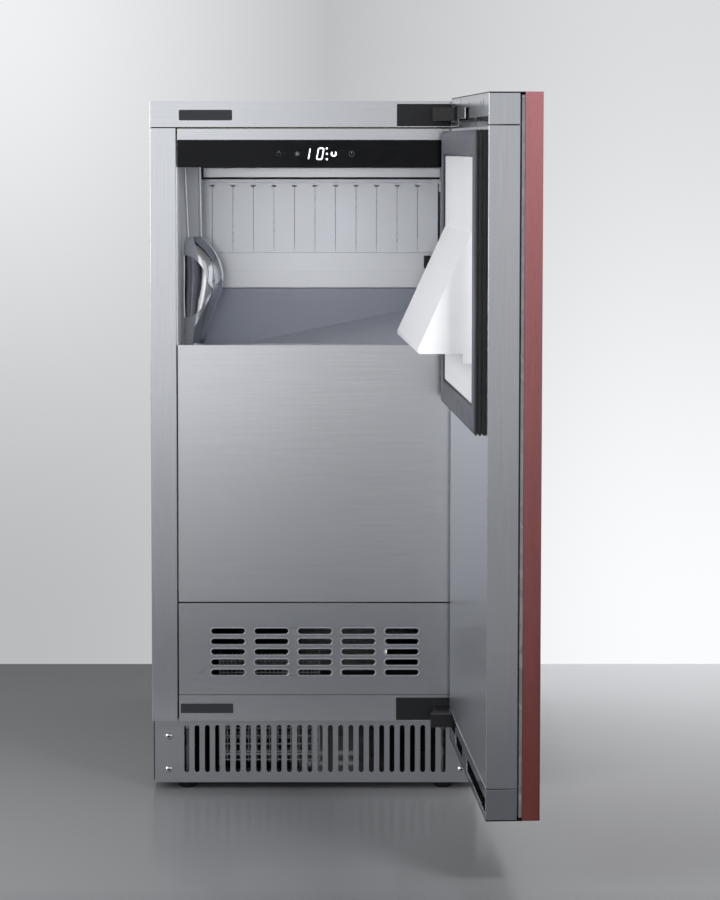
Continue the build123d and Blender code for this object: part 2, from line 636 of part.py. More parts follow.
# ---------------------------------------------------------------- hinges on the cabinet
ARM_FRONT = -43.0
BOSS_R = 9.4
TAIL_X = (136.0, 154.5)
TAIL_Y = 18.0
HINGES = ((CASE_TOP_Z, ARM_TOP_Z), (CASE_LOW_Z, ARM_LOW_Z))
with BuildPart(CABINET) as hinge_cases:
    for case_z in (CASE_TOP_Z, CASE_LOW_Z):
        block(CASE_X, (-1.5, 50), case_z)
    fillet(hinge_cases.edges().filter_by(Axis.Y), 1.5)
    for case_z, arm_z in HINGES:
        socket_x = (TAIL_X[0] - GAP, TAIL_X[1] + GAP)
        cut(socket_x, (-3, TAIL_Y + GAP), (arm_z[0] - GAP, arm_z[1] + GAP))
        block((CASE_X[0] + 2, CASE_X[1] - 24), (-2.3, -1.5), (case_z[0] + 2, case_z[1] - 2))
save(hinge_cases, "hinge_cases")

with BuildPart(CABINET) as hinge_arms:
    for pin_z, arm_z in (
        ((ARM_TOP_Z[1], ARM_TOP_Z[1] + PIN_LENGTH), ARM_TOP_Z),
        ((ARM_LOW_Z[0] - PIN_LENGTH, ARM_LOW_Z[0]), ARM_LOW_Z),
    ):
        with BuildSketch(on(CABINET, Plane.XY.offset(arm_z[0]))):
            with BuildLine():
                Polyline(
                    (TAIL_X[0], TAIL_Y),
                    (TAIL_X[1], TAIL_Y),
                    (TAIL_X[1], -5.0),
                    (PIVOT[0] + 4.0, PIVOT[1] + 8.5),
                    (PIVOT[0] + 4.0, ARM_FRONT + 1.0),
                    (PIVOT[0] - 4.0, ARM_FRONT),
                    (133.0, ARM_FRONT),
                    (132.0, ARM_FRONT + 6.0),
                    (TAIL_X[0] + 4.0, -5.0),
                    (TAIL_X[0], -1.0),
                    close=True,
                )
            make_face()
            with Locations(PIVOT):
                Circle(BOSS_R)
        extrude(amount=arm_z[1] - arm_z[0])
        rod((*PIVOT, sum(pin_z) / 2), PIN_R, pin_z[1] - pin_z[0])
save(hinge_arms, "hinge_arms")

# ---------------------------------------------------------------- door, drawn closed
INNER_SHEET = 1.0
CAP_TOP_Z = (DOOR_Z[1] - CAP_H, DOOR_Z[1] - EDGE_TRIM)
CAP_LOW_Z = (DOOR_Z[0] + EDGE_TRIM, DOOR_Z[0] + CAP_H)
BODY_Z = (CAP_LOW_Z[1] + 0.8, CAP_TOP_Z[0] - 0.8)
POCKET_X = (DOOR_HALF - 63.0, DOOR_HALF + 2.0)
with BuildPart(DOOR) as door_shell:
    block((-DOOR_HALF, DOOR_HALF), (DOOR_OUT, DOOR_IN), BODY_Z)
    cut(
        (-DOOR_HALF + SHEET, DOOR_HALF - SHEET),
        (DOOR_OUT + SHEET, DOOR_IN + 1),
        (BODY_Z[0] + SHEET, BODY_Z[1] - SHEET),
    )
save(door_shell, "door_shell")

with BuildPart(DOOR) as door_inner_panel:
    half = DOOR_HALF - SHEET - 0.1
    z = (BODY_Z[0] + SHEET + 0.1, BODY_Z[1] - SHEET - 0.1)
    block((-half, half), (DOOR_IN - INNER_SHEET, DOOR_IN), z)
    cut((-LINER_HALF, LINER_HALF), (DOOR_IN - 5, DOOR_IN + 5), DOOR_LINER_Z)
save(door_inner_panel, "door_inner_panel")

with BuildPart(DOOR) as door_insulation:
    half = DOOR_HALF - SHEET - 0.5
    z = (BODY_Z[0] + SHEET + 0.5, BODY_Z[1] - SHEET - 0.5)
    block((-half, half), (DOOR_OUT + SHEET + 0.5, DOOR_IN - INNER_SHEET - 0.5), z)
    cut((-LINER_HALF - 1, LINER_HALF + 1), (DOOR_IN - 10, DOOR_IN), (487, 743))
save(door_insulation, "door_insulation")

with BuildPart(DOOR) as door_liner:
    half = LINER_HALF - 0.2
    z = (DOOR_LINER_Z[0] + 0.2, DOOR_LINER_Z[1] - 0.2)
    block((-half, half), (DOOR_IN - 8, LINER_FACE), z)
    fillet(door_liner.faces().sort_by(Axis.X)[0].edges(), 1.5)
save(door_liner, "door_liner")

DEFLECTOR_X = (-136.0, 133.0)
DEFLECTOR_TIP = DOOR_IN + 65.5
DEFLECTOR_Z = (540.5, 546.0, 663.0)  # underside, top of the tip and top of the slope
WALL = 2.5
with BuildPart(DOOR) as ice_deflector:
    low, nose, high = DEFLECTOR_Z
    with BuildSketch(on(DOOR, Plane.YZ.offset(DEFLECTOR_X[0]))):
        with BuildLine():
            Polyline(
                (LINER_FACE, high),
                (LINER_FACE + 1.5, high),
                (DEFLECTOR_TIP, nose),
                (DEFLECTOR_TIP, low),
                (LINER_FACE, low),
                close=True,
            )
        make_face()
        fillet([vertices().sort_by(Axis.X)[-1], vertices().sort_by(Axis.X)[-2]], 2.0)
    extrude(amount=DEFLECTOR_X[1] - DEFLECTOR_X[0])
    with BuildSketch(on(DOOR, Plane.YZ.offset(DEFLECTOR_X[0] + WALL))):
        with BuildLine():
            Polyline(
                (LINER_FACE - 1.0, high - 2 * WALL),
                (DEFLECTOR_TIP - WALL, nose - 1.0),
                (DEFLECTOR_TIP - WALL, low + WALL),
                (LINER_FACE - 1.0, low + WALL),
                close=True,
            )
        make_face()
    extrude(amount=DEFLECTOR_X[1] - DEFLECTOR_X[0] - 2 * WALL, mode=Mode.SUBTRACT)
    for x in (DEFLECTOR_X[0], DEFLECTOR_X[1] - 12):
        block((x, x + 12), (LINER_FACE, LINER_FACE + 9), (low - 10, low))
save(ice_deflector, "ice_deflector")

with BuildPart(DOOR) as door_gasket:
    y = (DOOR_IN + 0.05, DOOR_IN + 12.9)
    half = GASKET_HALF
    inner = (GASKET_Z[0] + GASKET_BAND, GASKET_Z[1] - GASKET_BAND)
    block((-half, half), y, GASKET_Z)
    cut((-half + GASKET_BAND, half - GASKET_BAND), (DOOR_IN - 2, 5), inner)
save(door_gasket, "door_gasket")

POCKET_Y = (DOOR_OUT + SHEET, DOOR_IN + 1)
POCKET_TOP_Z = (ARM_TOP_Z[0] - 1.5, ARM_TOP_Z[1] + 0.5)
POCKET_LOW_Z = (ARM_LOW_Z[0] - 0.5, ARM_LOW_Z[1] + 1.5)
CAP_HOLLOW_X = (-DOOR_HALF + SHEET, DOOR_HALF - SHEET)
CAP_HOLLOW_Y = (DOOR_OUT + SHEET, DOOR_IN - SHEET)
with BuildPart(DOOR) as door_cap_top:
    block((-DOOR_HALF, DOOR_HALF), (DOOR_OUT, DOOR_IN), CAP_TOP_Z)
    cut(CAP_HOLLOW_X, CAP_HOLLOW_Y, (CAP_TOP_Z[0] - 1, CAP_TOP_Z[1] - SHEET))
    cut(POCKET_X, POCKET_Y, POCKET_TOP_Z)
    # a step along the lower edge, and the notch beside the hinge
    z = CAP_TOP_Z[0]
    cut((-DOOR_HALF + 6, POCKET_X[0] - 12), (DOOR_IN - 5, DOOR_IN + 1), (z - 1, z + 8))
    cut((0, 42), (DOOR_IN - 12, DOOR_IN + 1), (z + 8, z + 20))
save(door_cap_top, "door_cap_top")

with BuildPart(DOOR) as door_cap_bottom:
    block((-DOOR_HALF, DOOR_HALF), (DOOR_OUT, DOOR_IN), CAP_LOW_Z)
    cut(CAP_HOLLOW_X, CAP_HOLLOW_Y, (CAP_LOW_Z[0] + SHEET, CAP_LOW_Z[1] + 1))
    cut(POCKET_X, POCKET_Y, POCKET_LOW_Z)
    z = CAP_LOW_Z[0]
    cut((-180, 0), (DOOR_IN - 12, DOOR_IN + 1), (z + 6, z + 20))
    cut((46, 118), (DOOR_IN - 12, DOOR_IN + 1), (z + 8, z + 20))
save(door_cap_bottom, "door_cap_bottom")

with BuildPart(DOOR) as door_edge_trims:
    for z in ((CAP_TOP_Z[1], DOOR_Z[1]), (DOOR_Z[0], CAP_LOW_Z[0])):
        block((-DOOR_HALF, DOOR_HALF), (STRIP_Y[0], DOOR_IN), z)
save(door_edge_trims, "door_edge_trims")

with BuildPart(DOOR) as door_hinge_bushes:
    x = (POCKET_X[0] + 0.5, DOOR_HALF - SHEET - 0.2)
    y = (DOOR_OUT + SHEET + 0.2, DOOR_IN - SHEET - 0.2)
    block(x, y, (POCKET_TOP_Z[1] + 0.1, CAP_TOP_Z[1] - SHEET - 0.2))
    block(x, y, (CAP_LOW_Z[0] + SHEET + 0.2, POCKET_LOW_Z[0] - 0.1))
    middle_z = sum(DOOR_Z) / 2
    rod((*PIVOT, middle_z), PIN_R + PIN_FIT, DOOR_Z[1] - DOOR_Z[0], mode=Mode.SUBTRACT)
save(door_hinge_bushes, "door_hinge_bushes")

with BuildPart(DOOR) as panel_brackets:
    for x in (-DOOR_HALF + 1, DOOR_HALF - 21):
        block((x, x + 20), (STRIP_Y[0], DOOR_OUT), (DOOR_Z[0] + 3, DOOR_Z[1] - 3))
        cut((x - 1, x + 8), (STRIP_Y[1], DOOR_OUT + 1), (DOOR_Z[0], DOOR_Z[1]))
save(panel_brackets, "panel_brackets")

with BuildPart(DOOR) as wood_panel:
    block((-DOOR_HALF, DOOR_HALF), WOOD_Y, DOOR_Z)
    fillet(wood_panel.faces().sort_by(Axis.Z)[0].edges(), 1.0)
save(wood_panel, "wood_panel")
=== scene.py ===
"""The looks of a built-in ice maker, 15 inches wide, with its panel-ready door standing open.

Sizes are millimetres in the cabinet's own coordinates: x = 0 is the cabinet's middle, y = 0 its
front face, +y runs to the back and z = 0 is the floor. What is on the door is drawn as if the
door were closed, and DOOR carries it to where the door stands. The machine's own sizes are read
from the frame.
"""

import json
import math

import bmesh
import bpy
from mathutils import Matrix, Vector


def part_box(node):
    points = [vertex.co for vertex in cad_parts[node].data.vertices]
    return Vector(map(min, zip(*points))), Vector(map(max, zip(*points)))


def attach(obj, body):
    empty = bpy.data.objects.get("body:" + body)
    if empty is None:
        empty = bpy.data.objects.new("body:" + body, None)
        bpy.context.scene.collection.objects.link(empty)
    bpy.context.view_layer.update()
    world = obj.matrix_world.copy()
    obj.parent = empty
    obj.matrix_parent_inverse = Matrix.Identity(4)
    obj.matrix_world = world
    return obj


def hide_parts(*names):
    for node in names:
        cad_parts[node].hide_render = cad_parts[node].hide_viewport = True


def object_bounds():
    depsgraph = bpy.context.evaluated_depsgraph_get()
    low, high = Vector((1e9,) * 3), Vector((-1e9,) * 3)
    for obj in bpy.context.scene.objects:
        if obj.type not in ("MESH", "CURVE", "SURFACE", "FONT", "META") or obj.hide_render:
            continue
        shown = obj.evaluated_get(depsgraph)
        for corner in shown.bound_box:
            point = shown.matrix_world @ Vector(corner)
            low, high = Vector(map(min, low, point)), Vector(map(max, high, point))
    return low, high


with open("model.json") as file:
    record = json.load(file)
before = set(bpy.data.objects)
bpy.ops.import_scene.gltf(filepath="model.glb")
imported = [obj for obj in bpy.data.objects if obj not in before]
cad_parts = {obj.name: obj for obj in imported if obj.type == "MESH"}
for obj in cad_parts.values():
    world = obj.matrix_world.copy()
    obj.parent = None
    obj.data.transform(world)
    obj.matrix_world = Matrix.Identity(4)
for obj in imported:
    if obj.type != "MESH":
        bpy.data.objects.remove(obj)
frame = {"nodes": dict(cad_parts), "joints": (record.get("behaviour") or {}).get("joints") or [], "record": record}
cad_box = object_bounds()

MM = 0.001
NODES = frame["nodes"]

# ---------------------------------------------------------------- the frame's coordinates
rail_low, rail_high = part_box("top_rail")
CABINET = Matrix.Translation(((rail_low.x + rail_high.x) / 2, rail_low.y, 0)) @ Matrix.Scale(MM, 4)

swing = next(joint for joint in frame["joints"] if joint["name"] == "door_swing")
OPEN = math.radians(-swing["range_deg"][0])
PIVOT = CABINET.inverted() @ Vector(swing["pos_m"])
DOOR = CABINET @ Matrix.Translation(PIVOT) @ Matrix.Rotation(OPEN, 4, "Z") @ Matrix.Translation(-PIVOT)


def span(node, base=CABINET):
    """The (low, high) pairs in x, y and z that a CAD node fills, in a base's coordinates."""
    back = base.inverted()
    points = [back @ vertex.co for vertex in NODES[node].data.vertices]
    return [(min(p[axis] for p in points), max(p[axis] for p in points)) for axis in range(3)]


# ---------------------------------------------------------------- shapes
def block(bm, x, y, z):
    """A box between two faces on each axis; x, y and z are (low, high) pairs."""
    centre = Matrix.Translation(((x[0] + x[1]) / 2, (y[0] + y[1]) / 2, (z[0] + z[1]) / 2))
    size = Matrix.Diagonal((x[1] - x[0], y[1] - y[0], z[1] - z[0], 1))
    bmesh.ops.create_cube(bm, size=1, matrix=centre @ size)


TURNS = {
    "x": Matrix.Rotation(math.pi / 2, 4, "Y"),
    "y": Matrix.Rotation(-math.pi / 2, 4, "X"),
    "z": Matrix.Identity(4),
}


def lathe(bm, at, profile, axis="z", segments=32):
    """Turns (radius, height) points about an axis through a point. Ends at radius 0 are closed."""
    place = Matrix.Translation(at) @ TURNS[axis]
    rings = []
    for radius, height in profile:
        if radius == 0:
            rings.append([bm.verts.new(place @ Vector((0, 0, height)))])
            continue
        ring = []
        for step in range(segments):
            turn = 2 * math.pi * step / segments
            point = Vector((radius * math.cos(turn), radius * math.sin(turn), height))
            ring.append(bm.verts.new(place @ point))
        rings.append(ring)
    for low, high in zip(rings, rings[1:]):
        for step in range(segments):
            ahead = (step + 1) % segments
            corners = [low[step % len(low)], low[ahead % len(low)]]
            corners += [high[ahead % len(high)], high[step % len(high)]]
            unique = list(dict.fromkeys(corners))
            if len(unique) > 2:
                bm.faces.new(unique)


def rod(bm, at, radius, length, axis="z", segments=24):
    """A round bar centred on a point, with slightly rounded ends."""
    half = length / 2
    edge = min(radius, length) * 0.12
    profile = [(0, -half), (radius - edge, -half), (radius, -half + edge)]
    profile += [(radius, half - edge), (radius - edge, half), (0, half)]
    lathe(bm, at, profile, axis, segments)


def loft(bm, rings, closed):
    """Joins rings of points, all of one length, by quads; closed also joins the last to the first."""
    made = [[bm.verts.new(point) for point in ring] for ring in rings]
    pairs = list(zip(made, made[1:]))
    if closed:
        pairs.append((made[-1], made[0]))
    for one, two in pairs:
        for index in range(len(one)):
            ahead = (index + 1) % len(one)
            bm.faces.new((one[index], one[ahead], two[ahead], two[index]))


def stadium(half_length, half_width, steps=8):
    """Points round a slot with round ends that lies along x."""
    points = []
    for end, start in ((1, -90), (-1, 90)):
        for step in range(steps + 1):
            turn = math.radians(start + 180 * step / steps)
            x = end * (half_length - half_width) + half_width * math.cos(turn)
            points.append((x, half_width * math.sin(turn)))
    return points


def finished(name, bm, base, body, look, bevel=0.0, smooth=35):
    """Makes a mesh piece from a bmesh drawn in a base's millimetres. It rides on a body."""
    bmesh.ops.recalc_face_normals(bm, faces=bm.faces)
    mesh = bpy.data.meshes.new(name)
    bm.transform(base)
    bm.to_mesh(mesh)
    bm.free()
    made = bpy.data.objects.new(name, mesh)
    bpy.context.scene.collection.objects.link(made)
    mesh.materials.append(look)
    if smooth:
        mesh.shade_smooth()
        mesh.set_sharp_from_angle(angle=math.radians(smooth))
    if bevel:
        soften(made, bevel)
    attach(made, body)
    return made


def soften(made, width, segments=2):
    """Rounds the sharp edges, given in millimetres."""
    modifier = made.modifiers.new("edges", "BEVEL")
    modifier.width = width * MM
    modifier.segments = segments
    modifier.limit_method = "ANGLE"
    modifier.angle_limit = math.radians(40)
    modifier.harden_normals = True


# ---------------------------------------------------------------- material helpers
def srgb(red, green, blue):
    """A screen colour, 0 to 255, as linear values."""
    return tuple((value / 255) ** 2.2 for value in (red, green, blue)) + (1.0,)


class Look:
    """A material under construction: its node tree with short calls for common nodes."""

    def __init__(self, name, color, roughness, metallic=0.0, **sockets):
        self.material = bpy.data.materials.new(name)
        self.material.use_nodes = True
        self.material.diffuse_color = color
        self.tree = self.material.node_tree
        self.shader = self.tree.nodes["Principled BSDF"]
        self.shader.inputs["Base Color"].default_value = color
        self.shader.inputs["Roughness"].default_value = roughness
        self.shader.inputs["Metallic"].default_value = metallic
        for socket, value in sockets.items():
            self.shader.inputs[socket.replace("_", " ")].default_value = value
        self.place = self.tree.nodes.new("ShaderNodeTexCoord").outputs["Object"]

    def node(self, kind, **settings):
        made = self.tree.nodes.new(kind)
        for key, value in settings.items():
            setattr(made, key, value)
        return made

    def link(self, start, end):
        self.tree.links.new(start, end)

    def scaled(self, scale):
        """The object's coordinates in metres, stretched per axis."""
        mapping = self.node("ShaderNodeMapping")
        mapping.inputs["Scale"].default_value = scale
        self.link(self.place, mapping.inputs["Vector"])
        return mapping.outputs["Vector"]

    def noise(self, scale, detail=4.0, roughness=0.5, distortion=0.0):
        noise = self.node("ShaderNodeTexNoise")
        noise.inputs["Scale"].default_value = 1.0
        noise.inputs["Detail"].default_value = detail
        noise.inputs["Roughness"].default_value = roughness
        noise.inputs["Distortion"].default_value = distortion
        self.link(self.scaled(scale), noise.inputs["Vector"])
        return noise.outputs["Fac"]

    def remap(self, value, low, high, start=0.0, end=1.0):
        """Carries values from low..high onto start..end."""
        made = self.node("ShaderNodeMapRange")
        made.inputs["From Min"].default_value = low
        made.inputs["From Max"].default_value = high
        made.inputs["To Min"].default_value = start
        made.inputs["To Max"].default_value = end
        self.link(value, made.inputs["Value"])
        return made.outputs["Result"]

    def ramp(self, value, *stops):
        made = self.node("ShaderNodeValToRGB")
        elements = made.color_ramp.elements
        while len(elements) < len(stops):
            elements.new(0.5)
        for element, (position, color) in zip(elements, stops):
            element.position = position
            element.color = color
        self.link(value, made.inputs["Fac"])
        return made.outputs["Color"]

    def mix(self, factor, one, two):
        """Mixes two colours, each a socket or a value."""
        made = self.node("ShaderNodeMix", data_type="RGBA")
        for socket, value in (("A", one), ("B", two)):
            target = [s for s in made.inputs if s.name == socket and s.type == "RGBA"][0]
            if isinstance(value, tuple):
                target.default_value = value
            else:
                self.link(value, target)
        self.link(factor, made.inputs["Factor"])
        return [s for s in made.outputs if s.type == "RGBA"][0]

    def color(self, value):
        self.link(value, self.shader.inputs["Base Color"])

    def roughness(self, value):
        self.link(value, self.shader.inputs["Roughness"])

    def bump(self, height, strength, distance):
        """Bumps the surface; the distance is in millimetres."""
        made = self.node("ShaderNodeBump")
        made.inputs["Strength"].default_value = strength
        made.inputs["Distance"].default_value = distance * MM
        self.link(height, made.inputs["Height"])
        self.link(made.outputs["Normal"], self.shader.inputs["Normal"])


# ---------------------------------------------------------------- materials
def brushed_steel(name, along, color=(0.64, 0.655, 0.69, 1.0), roughness=0.20):
    """Stainless sheet with fine brush lines along one axis and a faint cloudiness."""
    look = Look(name, color, roughness, metallic=1.0)
    fine = {"x": (30, 3200, 3200), "y": (3200, 30, 3200), "z": (3200, 3200, 30)}[along]
    wide = {"x": (12, 900, 900), "y": (900, 12, 900), "z": (900, 900, 12)}[along]
    lines = look.noise(fine, detail=3.0)
    bands = look.noise(wide, detail=4.0)
    clouds = look.noise((6, 6, 6), detail=2.0)
    dark = tuple(value * 0.95 for value in color[:3]) + (1.0,)
    light = tuple(min(1.0, value * 1.04) for value in color[:3]) + (1.0,)
    shade = look.ramp(bands, (0.30, dark), (0.70, light))
    look.color(look.mix(look.remap(clouds, 0.3, 0.7, 0.0, 0.5), shade, color))
    look.roughness(look.remap(lines, 0.25, 0.75, roughness - 0.03, roughness + 0.04))
    look.bump(lines, 0.05, 0.03)
    return look.material


def polished_steel():
    """Polished stainless with faint smears."""
    look = Look("look_polished_steel", (0.78, 0.79, 0.82, 1.0), 0.12, metallic=1.0)
    smear = look.noise((24, 24, 60), detail=4.0, distortion=0.6)
    look.roughness(look.remap(smear, 0.35, 0.7, 0.09, 0.17))
    return look.material


def galvanised_steel():
    """Zinc-coated sheet with its spangle."""
    look = Look("look_galvanised_steel", (0.5, 0.52, 0.54, 1.0), 0.42, metallic=1.0)
    cells = look.node("ShaderNodeTexVoronoi")
    cells.inputs["Scale"].default_value = 110.0
    look.link(look.place, cells.inputs["Vector"])
    grey = look.node("ShaderNodeRGBToBW")
    look.link(cells.outputs["Color"], grey.inputs["Color"])
    look.color(look.ramp(grey.outputs["Val"], (0.1, (0.40, 0.42, 0.44, 1)), (0.9, (0.60, 0.62, 0.63, 1))))
    look.roughness(look.remap(grey.outputs["Val"], 0.0, 1.0, 0.32, 0.50))
    look.bump(look.noise((300, 300, 300), detail=3.0), 0.1, 0.1)
    return look.material


def painted_steel():
    """Dark grey powder coat, fine orange peel."""
    look = Look("look_painted_steel", srgb(92, 94, 98), 0.48)
    peel = look.noise((900, 900, 900), detail=2.0)
    patches = look.noise((9, 9, 9), detail=3.0)
    look.color(look.ramp(patches, (0.3, srgb(90, 92, 96)), (0.7, srgb(94, 96, 100))))
    look.roughness(look.remap(patches, 0.3, 0.7, 0.42, 0.54))
    look.bump(peel, 0.35, 0.12)
    return look.material


def moulded_plastic(name, color, roughness, grain=1400, relief=0.12, tint=0.06, **sockets):
    """Moulded plastic with a fine grain, faint tone changes and a slightly uneven gloss."""
    look = Look(name, color, roughness, **sockets)
    patches = look.noise((14, 14, 14), detail=3.0)
    dark = tuple(value * (1 - tint) for value in color[:3]) + (1.0,)
    light = tuple(min(1.0, value * (1 + tint)) for value in color[:3]) + (1.0,)
    look.color(look.ramp(patches, (0.3, dark), (0.7, light)))
    look.roughness(look.remap(patches, 0.3, 0.7, roughness - 0.02, roughness + 0.03))
    look.bump(look.noise((grain, grain, grain), detail=2.0), relief, 0.08)
    return look.material


def black_glass():
    """Back-painted black glass with faint fingerprints."""
    look = Look("look_black_glass", srgb(14, 15, 18), 0.10, Specular_IOR_Level=0.16)
    smear = look.noise((40, 40, 90), detail=5.0, distortion=1.2)
    look.color(look.ramp(smear, (0.35, srgb(12, 13, 16)), (0.75, srgb(19, 20, 24))))
    look.roughness(look.remap(smear, 0.4, 0.75, 0.07, 0.22))
    return look.material


def circuit_board():
    """Green solder mask with darker traces."""
    look = Look("look_circuit_board", srgb(28, 92, 52), 0.35)
    bricks = look.node("ShaderNodeTexBrick")
    bricks.inputs["Scale"].default_value = 160.0
    bricks.inputs["Color1"].default_value = srgb(24, 84, 46)
    bricks.inputs["Color2"].default_value = srgb(36, 110, 62)
    bricks.inputs["Mortar"].default_value = srgb(14, 60, 34)
    look.link(look.place, bricks.inputs["Vector"])
    look.color(bricks.outputs["Color"])
    look.bump(bricks.outputs["Fac"], 0.2, 0.1)
    return look.material


def foam():
    """Yellowish rigid foam with cells."""
    look = Look("look_foam", srgb(232, 216, 165), 0.85)
    cells = look.node("ShaderNodeTexVoronoi")
    cells.inputs["Scale"].default_value = 420.0
    look.link(look.place, cells.inputs["Vector"])
    look.color(look.ramp(look.noise((22, 22, 22)), (0.3, srgb(222, 204, 150)), (0.7, srgb(238, 224, 178))))
    look.bump(cells.outputs["Distance"], 0.5, 0.6)
    return look.material


def gasket_rubber(name, color):
    """Soft vinyl: matte, with a faint bloom."""
    look = Look(name, color, 0.55, Sheen_Weight=0.15, Sheen_Roughness=0.5)
    bloom = look.noise((60, 60, 60), detail=4.0)
    dark = tuple(value * 0.85 for value in color[:3]) + (1.0,)
    light = tuple(min(1.0, value * 1.18) for value in color[:3]) + (1.0,)
    look.color(look.ramp(bloom, (0.3, dark), (0.75, light)))
    look.roughness(look.remap(bloom, 0.3, 0.7, 0.46, 0.64))
    look.bump(look.noise((1800, 1800, 1800)), 0.15, 0.05)
    return look.material


def cherry_wood():
    """Red-brown stained cherry, painted paler and pinker towards the top for the light that falls there: upright
    grain, fine pores, satin lacquer.
    """
    look = Look("look_cherry_wood", srgb(104, 47, 41), 0.42, Coat_Weight=0.5, Coat_Roughness=0.3)
    grain = look.noise((55, 55, 2.2), detail=8.0, roughness=0.62, distortion=0.9)
    figure = look.noise((9, 9, 1.1), detail=3.0, distortion=1.6)
    pores = look.noise((1500, 1500, 60), detail=2.0)
    base = look.ramp(
        grain,
        (0.28, srgb(84, 34, 30)),
        (0.45, srgb(98, 43, 38)),
        (0.58, srgb(108, 52, 45)),
        (0.74, srgb(94, 39, 35)),
    )
    toned = look.mix(look.remap(figure, 0.35, 0.7, 0.0, 0.45), base, srgb(87, 34, 31))
    # painted light: the colour turns paler and pinker from z 0.10 to 0.80 m, for the light and sheen on the upper
    # door
    split = look.node("ShaderNodeSeparateXYZ")
    look.link(look.place, split.inputs[0])
    toned = look.mix(look.remap(split.outputs["Z"], 0.10, 0.80, 0.0, 0.55), toned, srgb(168, 112, 118))
    look.color(look.mix(look.remap(pores, 0.60, 0.72, 0.0, 0.4), toned, srgb(66, 25, 22)))
    look.roughness(look.remap(grain, 0.3, 0.7, 0.36, 0.52))
    look.bump(look.mix(look.remap(pores, 0.55, 0.75, 0.0, 1.0), (1, 1, 1, 1), (0, 0, 0, 1)), 0.25, 0.12)
    return look.material


def cast_metal(name, color, roughness, grain=220):
    """Plain metal such as brass, nickel or aluminium, with slight handling marks."""
    look = Look(name, color, roughness, metallic=1.0)
    marks = look.noise((grain, grain, grain), detail=4.0)
    dark = tuple(value * 0.86 for value in color[:3]) + (1.0,)
    look.color(look.ramp(marks, (0.3, dark), (0.6, color)))
    look.roughness(look.remap(marks, 0.3, 0.7, roughness - 0.05, roughness + 0.08))
    look.bump(marks, 0.12, 0.1)
    return look.material


def glowing(name, color, strength):
    """A lit display segment; the glow varies a little over it."""
    look = Look(name, color, 0.4, Emission_Strength=strength)
    shade = look.noise((900, 900, 900), detail=1.0)
    dim = tuple(value * 0.8 for value in color[:3]) + (1.0,)
    look.link(look.ramp(shade, (0.2, dim), (0.6, color)), look.shader.inputs["Emission Color"])
    return look.material


STEEL_X = brushed_steel("look_steel_level", "x")
STEEL_Z = brushed_steel("look_steel_upright", "z")
# painted light: a lighter copy of the same brushed steel for the front panel
STEEL_PANEL_LIT = brushed_steel("look_steel_panel_painted_light", "x", color=(0.74, 0.755, 0.795, 1.0))
# painted shade: a darker copy of the brushed steel for the door's bottom cap
STEEL_CAP_SHADE = brushed_steel("look_steel_low_cap_painted_shade", "z", color=(0.52, 0.53, 0.56, 1.0))
# painted light: a lighter, rougher copy of the brushed steel for the door's inner panel
STEEL_INNER_LIT = brushed_steel("look_steel_inner_painted_light", "z", color=(0.66, 0.675, 0.715, 1.0), roughness=0.30)
# painted shade: a darker, rougher copy of the brushed steel for the louvre rims
STEEL_RIM_SHADE = brushed_steel("look_steel_rim_painted_shade", "x", color=(0.50, 0.515, 0.55, 1.0), roughness=0.48)
# painted shade: a darker, rougher copy of the brushed steel for the kick grille
STEEL_KICK_SHADE = brushed_steel("look_steel_kick_painted_shade", "x", color=(0.43, 0.44, 0.47, 1.0), roughness=0.38)
POLISHED = polished_steel()
# painted shade: a dark copy of the steel for the flat strip of the scoop's handle
HANDLE_SHADE = brushed_steel("look_steel_handle_painted_shade", "z", color=(0.36, 0.37, 0.40, 1.0), roughness=0.34)
GALVANISED = galvanised_steel()
PAINTED = painted_steel()
BLACK = moulded_plastic("look_black_plastic", srgb(24, 25, 28), 0.42)
PLUG = moulded_plastic("look_plug_plastic", srgb(46, 47, 51), 0.50)
GREY = moulded_plastic("look_grey_plastic", srgb(224, 226, 230), 0.36, grain=700, tint=0.02)
# painted shade: a darker copy of the grey liner plastic for the upward-facing slides
SLIDE_SHADE = moulded_plastic("look_slide_plastic_painted_shade", srgb(166, 170, 182), 0.42, grain=700, tint=0.02)
# painted light: a near-white copy of the plastic for the curtain's rail, lifting it out of the control panel's
# shade
RAIL_LIT = moulded_plastic("look_rail_plastic_painted_light", srgb(248, 248, 250), 0.30, grain=700, tint=0.01)
WHITE = moulded_plastic("look_white_plastic", srgb(240, 240, 243), 0.34, relief=0.02, tint=0.008)
CLEAR = moulded_plastic("look_clear_grey_plastic", srgb(222, 224, 229), 0.38, relief=0.03, tint=0.012)
GLASS = black_glass()
BOARD = circuit_board()
FOAM = foam()
RUBBER = gasket_rubber("look_gasket_rubber", srgb(24, 25, 30))
# painted light: a lighter copy of the gasket rubber for the gasket's face
RUBBER_FACE_LIT = gasket_rubber("look_gasket_face_painted_light", srgb(58, 62, 74))
NICKEL = cast_metal("look_nickel", (0.70, 0.66, 0.58, 1.0), 0.28)
SCREW = cast_metal("look_zinc_screw", (0.60, 0.61, 0.62, 1.0), 0.34)
ALUMINIUM = cast_metal("look_aluminium", (0.72, 0.73, 0.75, 1.0), 0.38)
BRASS = cast_metal("look_brass", (0.74, 0.58, 0.30, 1.0), 0.30)
ENAMEL = moulded_plastic("look_black_enamel", srgb(24, 24, 26), 0.28, grain=900, Coat_Weight=0.4)
WOOD = cherry_wood()
LIT = glowing("look_lit_segment", srgb(250, 252, 255), 2.2)
FAINT = moulded_plastic("look_printed_icon", srgb(128, 131, 138), 0.4)
# painted shade: near-black shapes standing in for the inside of holes and recesses
RECESS_SHADE = moulded_plastic("look_painted_recess_shade", srgb(12, 12, 14), 0.8)

